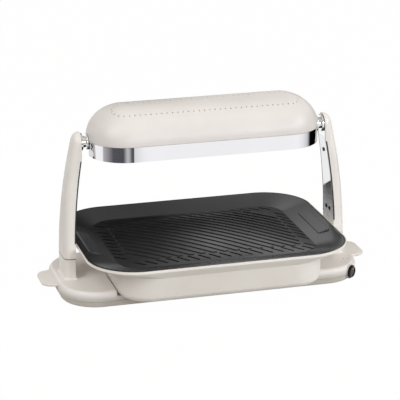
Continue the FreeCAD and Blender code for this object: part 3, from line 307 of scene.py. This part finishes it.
# %% Steels and other metals
zinc = skin("bright_zinc_plated_steel", "#9FA1A4", "#B9BBBE", 12, 0.26, 0.40, 0.6, 6, Metallic=1.0)
cover(zinc, "arm_core_left", "arm_core_right", "head_frame", "tube_brackets", "core_screws",
      "head_screws", "hinge_nuts", "friction_washers")
oxide = skin("black_oxide_steel", "#1B1B1D", "#29292B", 5, 0.30, 0.42, 0.3, 3, Metallic=1.0)
cover(oxide, "arm_plate_screws", "base_screws")
turned = skin("ground_stainless_steel", "#A9AAAC", "#BFC0C2", 6, 0.18, 0.28, 0.2, 2, Metallic=1.0)
cover(turned, "hinge_shaft_left", "hinge_shaft_right", "control_shaft", "guard_grille")
reflecting = skin("bright_anodised_aluminium", "#D2D3D6", "#DEDFE1", 25, 0.12, 0.24, 0.4, 3,
                  Metallic=1.0)
cover(reflecting, "reflector")
shielding = skin("aluminised_steel_sheet", "#8F9194", "#A6A8AB", 5, 0.34, 0.5, 1.5, 10,
                 Metallic=1.0)
cover(shielding, "heat_shield", "thermal_cutout")
bearing = skin("sintered_bronze", "#A97B45", "#BC8F56", 4, 0.32, 0.45, 0.2, 6, Metallic=1.0)
cover(bearing, "hinge_bush_left", "hinge_bush_right")
brass = skin("nickel_plated_brass", "#C9BE9F", "#D8CFB4", 5, 0.16, 0.26, 0.2, 2, Metallic=1.0)
cover(brass, "inlet_pins")
alloy = skin("heat_blued_resistance_alloy", "#4A4650", "#7A6E66", 8, 0.38, 0.55, 0.15, 4,
             Metallic=1.0)
cover(alloy, "heater_elements")

# %% [markdown]
# The rest are rubber, ceramic and plastics. Rubber is dull and a little grey where it has rubbed on
# a table. Steatite is a chalky white with a trace of brown from the heat. The switch and the inlet
# are phenolic, a flat black that stands heat. The terminal block is undyed nylon, cream and waxy,
# and the leads have sleeves of silicone, a soft grey without gloss.

# %% Rubber, ceramic and inner plastics
rubber = skin("black_nitrile_rubber", "#1C1C1C", "#2B2A29", 3, 0.62, 0.82, 0.3, 15)
cover(rubber, "rubber_feet")
steatite = skin("fired_steatite_ceramic", "#D9D2C4", "#EAE5DB", 7, 0.48, 0.62, 0.25, 10)
cover(steatite, "tube_caps")
phenolic = skin("black_phenolic_moulding", "#18191A", "#242526", 6, 0.38, 0.52, 0.3, 6)
cover(phenolic, "control_switch", "power_inlet")
nylon = skin("natural_nylon", "#DAD4C3", "#E6E1D3", 8, 0.34, 0.46, 0.5, 5)
cover(nylon, "terminal_block")
sleeve = skin("silicone_lead_sleeve", "#B9B4AA", "#CBC7BE", 5, 0.5, 0.62, 0.4, 8)
cover(sleeve, "inner_leads")

# %% [markdown]
# The heater tubes are quartz glass, drawn from a melt, which leaves fine streaks along the tube.
# The streaks scatter light, so the wire inside shows as through milk. Clear glass would vanish.

# %% Quartz glass
quartz, tree, shader = material("milky_quartz_glass", IOR=1.46, Transmission_Weight=0.85)
haze = between(tree, noise(tree, 2.5, 4.0, (12, 1, 1)), 0.06, 0.22)
tint = ramp(tree, noise(tree, 20), "Fac", [(0.3, "#EDE9E2"), (0.7, "#F7F5F0")])
join(tree, shader, Base_Color=(tint, "Color"), Roughness=(haze, "Result"))
cover(quartz, "heater_tubes")

# %% [markdown]
# ## Pieces that the construction leaves out
#
# Screws need recesses, the plates need the painted dark line that is seen along their edges, the
# heater needs its wound wire, the control needs its marks and the band its joint. Each is modelled
# once with Blender's own tools, copied where it repeats, and rides on the body that carries it, so
# that it moves when that body does.

# %% Functions for pieces
def clear():
    """Leaves nothing selected, so that an operator works only on what it makes."""
    if bpy.context.object and bpy.context.object.mode != "OBJECT":
        bpy.ops.object.mode_set(mode="OBJECT")
    bpy.ops.object.select_all(action="DESELECT")


def settle(made, name, finish, body):
    """Names a finished piece, moves its place into its vertices, and lets it ride on its body."""
    clear()
    made.select_set(True)
    bpy.context.view_layer.objects.active = made
    bpy.ops.object.transform_apply(location=True, rotation=True, scale=True)
    made.name = name
    made.data.name = name
    made.data.materials.clear()
    made.data.materials.append(finish)
    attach(made, body)
    return made


def bar(place, size, bevel=0.0):
    """A block with its edges rounded, at its place."""
    clear()
    bpy.ops.mesh.primitive_cube_add(size=1.0, location=place)
    made = bpy.context.object
    made.scale = size
    bpy.ops.object.transform_apply(location=False, rotation=False, scale=True)
    if bevel:
        bpy.ops.object.mode_set(mode="EDIT")
        bpy.ops.mesh.select_all(action="SELECT")
        bpy.ops.mesh.bevel(offset=bevel, segments=2, affect="EDGES")
        bpy.ops.object.mode_set(mode="OBJECT")
    return made


def joined(*parts):
    """Several pieces made into one."""
    clear()
    for part in parts:
        part.select_set(True)
    bpy.context.view_layer.objects.active = parts[0]
    bpy.ops.object.join()
    return parts[0]


def copied(source, name, turn, body):
    """A copy with its own mesh, turned or mirrored by a matrix, that rides on its body."""
    mesh = source.data.copy()
    mesh.transform(turn)
    if turn.determinant() < 0:
        mesh.flip_normals()
    made = bpy.data.objects.new(name, mesh)
    mesh.name = name
    bpy.context.scene.collection.objects.link(made)
    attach(made, body)
    return made


mirror_x = Matrix.Scale(-1, 4, (1, 0, 0))
mirror_y = Matrix.Scale(-1, 4, (0, 1, 0))

# %% [markdown]
# ### Recesses in the screws
#
# A cross recess is two crossed slots. Cutting them into a head of six millimetres would cost more
# than they show, so each is a dark cross laid a few hundredths of a millimetre proud of the head,
# which looks the same from any distance that a grill is seen from. The plate's screws lean with the
# plate, so the cross is made at the origin, facing inwards, and turned into its place.

# %% Cross recesses
slot_long, slot_wide, slot_proud, slot_rounding = 0.0030, 0.00075, 0.00008, 0.00003
shadow = skin("shadowed_recess", "#060606", "#0C0C0C", 2, 0.5, 0.7, 0.2, 2)
cross = joined(bar((0, 0, 0), (slot_proud, slot_long, slot_wide), slot_rounding),
               bar((0, 0, 0), (slot_proud, slot_wide, slot_long), slot_rounding))
settle(cross, "plate_screw_recess_0", shadow, "base")
print("cross recess", round(slot_long * 1000, 2), "mm across")

# %% Recesses on the bright plates
arc_radius, arc_face, arm_joint = 0.8377, 0.2044, 0.058
arc_middle = Vector((arc_face - arc_radius, 0.0, arm_joint))
head_above_plate = 0.00122
plate_screws = ((0.007, 0.095), (-0.007, 0.095), (0.0, 0.1895))
first_driven, turned_on = 20, 500
for row, (y, z) in enumerate(plate_screws):
    lean = math.asin((z - arc_middle.z) / arc_radius)
    inward = Vector((math.cos(lean), 0, math.sin(lean)))
    spot = arc_middle + inward * (arc_radius - head_above_plate) + Vector((0, y, 0))
    driven = math.radians(first_driven + turned_on * z)
    leant = Matrix.Translation(spot) @ Matrix.Rotation(-lean, 4, "Y")
    turn = leant @ Matrix.Rotation(driven, 4, "X")
    copied(cross, f"plate_screw_recess_{2 * row + 1}", turn, "base")
    copied(cross, f"plate_screw_recess_{2 * row + 2}", mirror_x @ turn, "base")
print("recesses on the plates:", 2 * len(plate_screws))

# %% Recesses under the base
screw_x, screw_y, screw_face = (0.05233, 0.145), 0.078, 0.00188
driven_apart = 0.7
base_screws = [(s * x, t * screw_y) for s in (-1, 1) for t in (-1, 1) for x in screw_x]
lay_down = Matrix.Rotation(math.radians(90), 4, "Y")
for i, (x, y) in enumerate(base_screws):
    driven = Matrix.Rotation(driven_apart * i, 4, "Z")
    turn = Matrix.Translation((x, y, screw_face)) @ driven @ lay_down
    copied(cross, f"base_screw_recess_{i}", turn, "base")
bpy.data.objects.remove(cross)
print("recesses under the base:", len(base_screws))

# %% [markdown]
# ### The dark edge along the bright plates
#
# Seen from the front, a dark line runs down each bright plate where it meets the cream cover. It is
# painted: the plate's edge seen edge-on looks dark, and a strip of black, about two millimetres by
# one, stands in for that dark. Its course is an arc in front view and leans with the arm's taper, so
# it is a small rectangle spun about the arc's middle and then tipped. A bent box would need a dozen
# cuts to look as round.

# %% Painted dark edges of the plates
# Painted dark: a black strip where the plate's edge looks dark.
painted_dark_edge = skin("painted_dark_plate_edge", "#141414", "#1F1E1E", 6, 0.42, 0.58, 0.4, 6)
dark_edge_thick, dark_edge_wide, dark_edge_steps = 0.0019, 0.0012, 24
behind_face, over_edge = 0.0008, 0.0004
above_joint, arm_half_depth = 0.022, 0.026
taper, top_angle = math.radians(3.337), math.radians(10.17)
start = math.asin(above_joint / arc_radius)
first = arc_middle + Vector((math.cos(start), 0, math.sin(start))) * arc_radius
half_y = arm_half_depth - above_joint * math.tan(taper)
clear()
bpy.ops.mesh.primitive_plane_add(size=1.0,
                                 location=(first.x + behind_face, -half_y + over_edge, first.z))
dark_edge = bpy.context.object
dark_edge.scale = (dark_edge_thick, dark_edge_wide, 1.0)
bpy.ops.object.transform_apply(location=True, rotation=True, scale=True)
bpy.ops.object.mode_set(mode="EDIT")
bpy.ops.mesh.select_all(action="SELECT")
bpy.ops.mesh.spin(steps=dark_edge_steps, angle=top_angle - start, center=arc_middle, axis=(0, 1, 0))
bpy.ops.mesh.select_all(action="SELECT")
bpy.ops.mesh.normals_make_consistent(inside=False)
bpy.ops.object.mode_set(mode="OBJECT")
tip = Matrix.Translation(first) @ Matrix.Rotation(-taper, 4, "X") @ Matrix.Translation(-first)
dark_edge.data.transform(tip)
settle(dark_edge, "plate_dark_edge_right_front", painted_dark_edge, "base")
copied(dark_edge, "plate_dark_edge_right_back", mirror_y, "base")
copied(dark_edge, "plate_dark_edge_left_front", mirror_x, "base")
copied(dark_edge, "plate_dark_edge_left_back", mirror_x @ mirror_y, "base")
low = [round(min(v.co[i] for v in dark_edge.data.vertices), 4) for i in range(3)]
high = [round(max(v.co[i] for v in dark_edge.data.vertices), 4) for i in range(3)]
print("seal from", low, "to", high)

# %% [markdown]
# ### The wound wire in the heater tubes
#
# Each quartz tube holds a wound wire. A helix is a circle swept by the Screw modifier: one small
# ring of wire, turned about the tube's axis while it moves along it. That leaves the wire's two
# ends open, so they are found as the only edges with one face and are closed.

# %% Heater coils
wire_radius, wire_sides, coil_radius = 0.0004, 7, 0.0027
coil_pitch, turns, steps_a_turn = 0.0034, 78, 12
tube_y, tube_z = 0.022, 0.226
clear()
bpy.ops.mesh.primitive_circle_add(vertices=wire_sides, radius=wire_radius, fill_type="NOTHING",
                                  location=(0, coil_radius, 0))
coil = bpy.context.object
bpy.ops.object.transform_apply(location=True, rotation=True, scale=True)
sweep = coil.modifiers.new("sweep", "SCREW")
sweep.axis = "X"
sweep.screw_offset = coil_pitch
sweep.iterations = turns
sweep.steps = steps_a_turn
sweep.render_steps = steps_a_turn
sweep.use_merge_vertices = True
sweep.use_smooth_shade = True
bpy.ops.object.modifier_apply(modifier="sweep")
bpy.ops.object.mode_set(mode="EDIT")
bpy.ops.mesh.select_all(action="DESELECT")
bpy.ops.mesh.select_mode(type="EDGE")
bpy.ops.mesh.select_non_manifold()
bpy.ops.mesh.fill_holes(sides=wire_sides)
bpy.ops.mesh.select_all(action="SELECT")
bpy.ops.mesh.normals_make_consistent(inside=False)
bpy.ops.object.mode_set(mode="OBJECT")
coil.location = (-coil_pitch * turns / 2, -tube_y, tube_z)
settle(coil, "heater_coil_front", alloy, "head")
copied(coil, "heater_coil_back", mirror_y, "head")
print("coil triangles:", sum(len(p.vertices) - 2 for p in coil.data.polygons))

# %% [markdown]
# ### Marks at the control
#
# The control needs a line that shows where it points, and the deck beside it carries two pairs of
# plain round dots. They are printed, so they have almost no thickness, and the ink's surface
# tension rounds their rims.

# %% Inks
white_ink = skin("white_pad_print_ink", "#D9D9D6", "#E6E6E3", 3, 0.5, 0.6, 0.3, 2)
grey_ink = skin("warm_grey_pad_print_ink", "#A29D90", "#AFAA9D", 3, 0.5, 0.6, 0.3, 2)
ink_depth, ink_rim = 0.00006, 0.00002
print("inks:", white_ink.name, "and", grey_ink.name)

# %% Pointer on the control
control_turn, pointed_at_rest = math.radians(41), -0.35
corner_middle = Vector((0.176, -0.034, 0.0142))
corner_radius, face_out = 0.058, 0.0038
outward = Vector((math.sin(control_turn), -math.cos(control_turn), 0))
face = corner_middle + outward * (corner_radius + face_out)
aside = Vector((outward.y, -outward.x, 0))
facing = Matrix((aside, outward, aside.cross(outward))).transposed().to_4x4()
rest_turn = Matrix.Rotation(pointed_at_rest, 4, "Y")
pointer_wide, pointer_thick, pointer_long = 0.0009, 0.00008, 0.0034
pointer_middle, pointer_rounding = 0.0042, 0.00003
pointer = bar((0, 0, pointer_middle), (pointer_wide, pointer_thick, pointer_long), pointer_rounding)
pointer.matrix_world = Matrix.Translation(face) @ facing @ rest_turn @ pointer.matrix_world
settle(pointer, "control_pointer", white_ink, "control")
print("pointer on the face at", [round(v, 4) for v in face])

# %% Dots on the deck
deck_face = 0.02602
dots = ((0.2119, -0.0514, 0.0013), (0.2183, -0.0532, 0.0012),
        (0.2028, -0.0649, 0.0008), (0.2099, -0.0669, 0.0008))
for i, (x, y, radius) in enumerate(dots):
    clear()
    bpy.ops.mesh.primitive_cylinder_add(vertices=32, radius=radius, depth=ink_depth,
                                        location=(x, y, deck_face))
    bpy.ops.object.mode_set(mode="EDIT")
    bpy.ops.mesh.select_all(action="SELECT")
    bpy.ops.mesh.bevel(offset=ink_rim, segments=2, affect="EDGES")
    bpy.ops.object.mode_set(mode="OBJECT")
    settle(bpy.context.object, f"deck_dot_{i}", grey_ink, "base")
print("dots:", len(dots))

# %% [markdown]
# ### The band's joint
#
# The bright band is one strip bent round the head, so it has one joint, at the middle of the back,
# where it is least seen.

# %% Band joint
band_back, band_middle, band_height = 0.06101, 0.2242, 0.0222
joint_wide, joint_thick, joint_rounding = 0.00025, 0.00008, 0.00003
joint_size = (joint_wide, joint_thick, band_height)
joint_line = bar((0, band_back, band_middle), joint_size, joint_rounding)
settle(joint_line, "band_joint", shadow, "head")
print("band joint", round(band_height * 1000, 1), "mm high")

# %% [markdown]
# ## Floor and light
#
# The picture has a white ground with almost no shadow. More light would bleach the cream, so the
# paper is given its own whiteness instead: towards the camera, in reflections and through glass it
# shines by itself, and only a small part of it shows the shadow. For all other light it is plain
# grey paper, which keeps the bounce on the base low.

# %% Floor
def reckon(tree, operation, first, second):
    """Sums on two values, each an output of a node or a number; gives the output of the result."""
    node = add(tree, "ShaderNodeMath", {"operation": operation})
    for socket, value in zip(node.inputs, (first, second)):
        if isinstance(value, float):
            socket.default_value = value
        else:
            tree.links.new(value, socket)
    return node.outputs[0]


clear()
bpy.ops.mesh.primitive_plane_add(size=12.0, location=(0, 0, 0))
floor = bpy.context.object
floor.name = "studio_floor"
paper, tree, shader = material("white_backdrop_paper", Roughness=0.9)
fibres = ramp(tree, noise(tree, 6), "Fac", [(0.3, "#8E8A83"), (0.7, "#948F88")])
join(tree, shader, Base_Color=(fibres, "Color"))
own_light, paper_strength = 0.975, 1.025
path = add(tree, "ShaderNodeLightPath")
mirrored = reckon(tree, "MAXIMUM",
                  path.outputs["Is Glossy Ray"], path.outputs["Is Transmission Ray"])
seen = reckon(tree, "MAXIMUM", path.outputs["Is Camera Ray"], mirrored)
share = reckon(tree, "MULTIPLY", seen, own_light)
glow = add(tree, "ShaderNodeEmission", {"Color": linear("#FEFEFE"), "Strength": paper_strength})
both = add(tree, "ShaderNodeMixShader")
tree.links.new(share, both.inputs[0])
tree.links.new(shader.outputs["BSDF"], both.inputs[1])
tree.links.new(glow.outputs["Emission"], both.inputs[2])
join(tree, tree.nodes["Material Output"], Surface=(both, "Shader"))
floor.data.materials.append(paper)
print("paper's own light:", own_light)

# %% [markdown]
# Chrome shows what stands round it, so a product photographer places cards, white and black, out of
# the picture. Here a low ring of card, open at the top, stands on the floor round the grill and is
# seen by mirrors only. Its greys, from black to white by direction, give the band its dark stripes
# at both ends. Painted stripes would turn with the head when it is tilted, as reflections never do.

# %% Card ring for the chrome
def compass(degrees):
    """A direction, in degrees from +X, as a place on the radial gradient."""
    return (degrees / 360 + 0.5) % 1.0


def mirrors_only(made, name):
    """Names a card and hides it from everything but reflections."""
    made.name = name
    made.visible_camera = made.visible_diffuse = made.visible_shadow = False
    made.visible_transmission = made.visible_volume_scatter = False


def card_paper(name):
    """A bare material for a card, with the card's coordinates and the direction round the grill."""
    made = bpy.data.materials.new(name)
    made.use_nodes = True
    made.node_tree.nodes.remove(made.node_tree.nodes["Principled BSDF"])
    place = add(made.node_tree, "ShaderNodeTexCoord")
    around = add(made.node_tree, "ShaderNodeTexGradient", {"gradient_type": "RADIAL"},
                 Vector=(place, "Object"))
    return made, made.node_tree, place, around


card_stops = [(-180, "#F4F4F6"), (-173, "#F4F4F6"), (-171, "#B2ADB1"), (-160, "#969296"),
              (-145, "#54535A"), (-119, "#504F52"), (-109, "#B9B9BB"), (-104, "#B4B4B6"),
              (-96, "#535254"), (-92, "#565557"), (-88, "#F0F0F2"), (-46, "#F6F6F7"),
              (-31, "#EAEAEC"), (-17, "#C8C8CA"), (-8, "#050505"), (52, "#050505"),
              (60, "#FBFBFC"), (134, "#FBFBFC"), (139, "#101011"), (153, "#101011"),
              (157, "#505052"), (163, "#F4F4F6"), (179.9, "#F4F4F6")]
ring_radius, ring_height, ring_strength = 0.6, 0.125, 1.16
clear()
bpy.ops.mesh.primitive_cylinder_add(vertices=96, radius=ring_radius, depth=ring_height,
                                    end_fill_type="NOTHING", location=(0, 0, ring_height / 2))
ring = bpy.context.object
mirrors_only(ring, "reflection_cards")
cards, tree, place, around = card_paper("graded_studio_card")
greys = ramp(tree, around, "Fac", [(compass(d), code) for d, code in card_stops])
lit = add(tree, "ShaderNodeEmission", {"Strength": ring_strength}, Color=(greys, "Color"))
join(tree, tree.nodes["Material Output"], Surface=(lit, "Emission"))
ring.data.materials.append(cards)
print("card stops:", len(card_stops))

# %% [markdown]
# The pan needs its own surroundings. Its coating is seen at a shallow angle, so it shows what
# stands behind the grill: a curved card. Low down it is grey and grows paler, then greyer again
# overhead. In its middle stands a dark card that ends above the height of the arms, and to the left
# of that a white one. The pan's flanges lean towards its middle, so each finds its own tone there.
# The curve is cut from a whole cylinder, because a card in front would spoil the band.

# %% Card behind the grill
wall_radius, wall_height, wall_front = 0.7, 0.95, 0.2
clear()
bpy.ops.mesh.primitive_cylinder_add(vertices=120, radius=wall_radius, depth=wall_height,
                                    end_fill_type="NOTHING", location=(0, 0, wall_height / 2))
wall = bpy.context.object
bpy.ops.object.transform_apply(location=True, rotation=True, scale=True)
bpy.ops.object.mode_set(mode="EDIT")
bpy.ops.mesh.select_all(action="SELECT")
bpy.ops.mesh.bisect(plane_co=(0, wall_front, 0), plane_no=(0, 1, 0), clear_inner=True)
bpy.ops.object.mode_set(mode="OBJECT")
mirrors_only(wall, "reflection_wall")
print("card faces behind:", len(wall.data.polygons))

# %% Greys of the card behind
white_strength = 1.4
dark_to, faded_at = 0.46, 0.72
card, tree, place, around = card_paper("graded_card_behind")
split = add(tree, "ShaderNodeSeparateXYZ", Vector=(place, "Object"))
by_height = ramp(tree, split, "Z", [(0.30, "#5A5A5A"), (0.37, "#CDCDCD"), (0.43, "#FAFAFA"),
                                    (0.50, "#FAFAFA"), (0.68, "#989898")])
dark_card = ramp(tree, around, "Fac",
                 [(0.0, "#FFFFFF"), (compass(72), "#FFFFFF"), (compass(82), "#262626"),
                  (compass(98), "#262626"), (compass(102), "#FFFFFF"), (1.0, "#FFFFFF")])
white_card = ramp(tree, around, "Fac", [(0.0, "#000000"), (compass(99), "#000000"),
                                        (compass(103), "#FAFAFA")])
above = add(tree, "ShaderNodeMapRange", {"From Min": dark_to, "From Max": faded_at},
            Value=(split, "Z"))
spared = reckon(tree, "MAXIMUM", dark_card.outputs["Color"], above.outputs["Result"])
toned = reckon(tree, "MULTIPLY", by_height.outputs["Color"], spared)
strong = reckon(tree, "MULTIPLY", toned, white_strength)
either = reckon(tree, "MAXIMUM", strong, white_card.outputs["Color"])
lit = add(tree, "ShaderNodeEmission", {"Color": linear("#FFFFFF")})
tree.links.new(either, lit.inputs["Strength"])
join(tree, tree.nodes["Material Output"], Surface=(lit, "Emission"))
wall.data.materials.append(card)
print("white of the card:", white_strength)

# %% [markdown]
# The light itself is soft: five large lamps a few metres off, most of them at the front. Small
# lamps would draw hard shadows of the arms on the deck. They are a touch cool, and the world around
# is a little warm, which is why shaded cream looks warmer than lit cream.

# %% Lamps
def lamp(name, place, size, watts):
    """A soft lamp at its place, turned to the middle of the grill."""
    data = bpy.data.lights.new(name, "AREA")
    data.shape = "RECTANGLE"
    data.size, data.size_y = size
    data.energy = watts
    data.color = slightly_cool
    made = bpy.data.objects.new(name, data)
    made.location = place
    made.rotation_euler = (Vector(place) - grill_middle).to_track_quat("Z", "Y").to_euler()
    bpy.context.scene.collection.objects.link(made)
    print(name, watts, "W")


slightly_cool = (0.955, 0.975, 1.0)
grill_middle = Vector((0, 0, 0.12))
lamp("key", (1.6, -2.4, 0.95), (1.8, 0.9), 19)
lamp("front", (0.3, -3.0, 0.85), (2.0, 0.8), 14)
lamp("right", (2.3, -1.6, 1.6), (1.4, 1.4), 31)
lamp("high_left", (-2.0, -1.2, 2.0), (1.6, 1.6), 35)
lamp("top", (0.0, -0.8, 2.6), (2.2, 1.8), 2)

# %% World
world_strength = 0.85
world = bpy.data.worlds.new("studio")
world.use_nodes = True
bpy.context.scene.world = world
tree = world.node_tree
place = add(tree, "ShaderNodeTexCoord")
split = add(tree, "ShaderNodeSeparateXYZ", Vector=(place, "Generated"))
sky = ramp(tree, split, "Z", [(0.0, "#6C665C"), (0.3, "#BAB5AA"), (0.8, "#D9D3C9")])
tree.nodes["Background"].inputs["Strength"].default_value = world_strength
join(tree, tree.nodes["Background"], Color=(sky, "Color"))
bpy.context.scene.view_settings.view_transform = "Standard"
print("world strength:", world_strength)
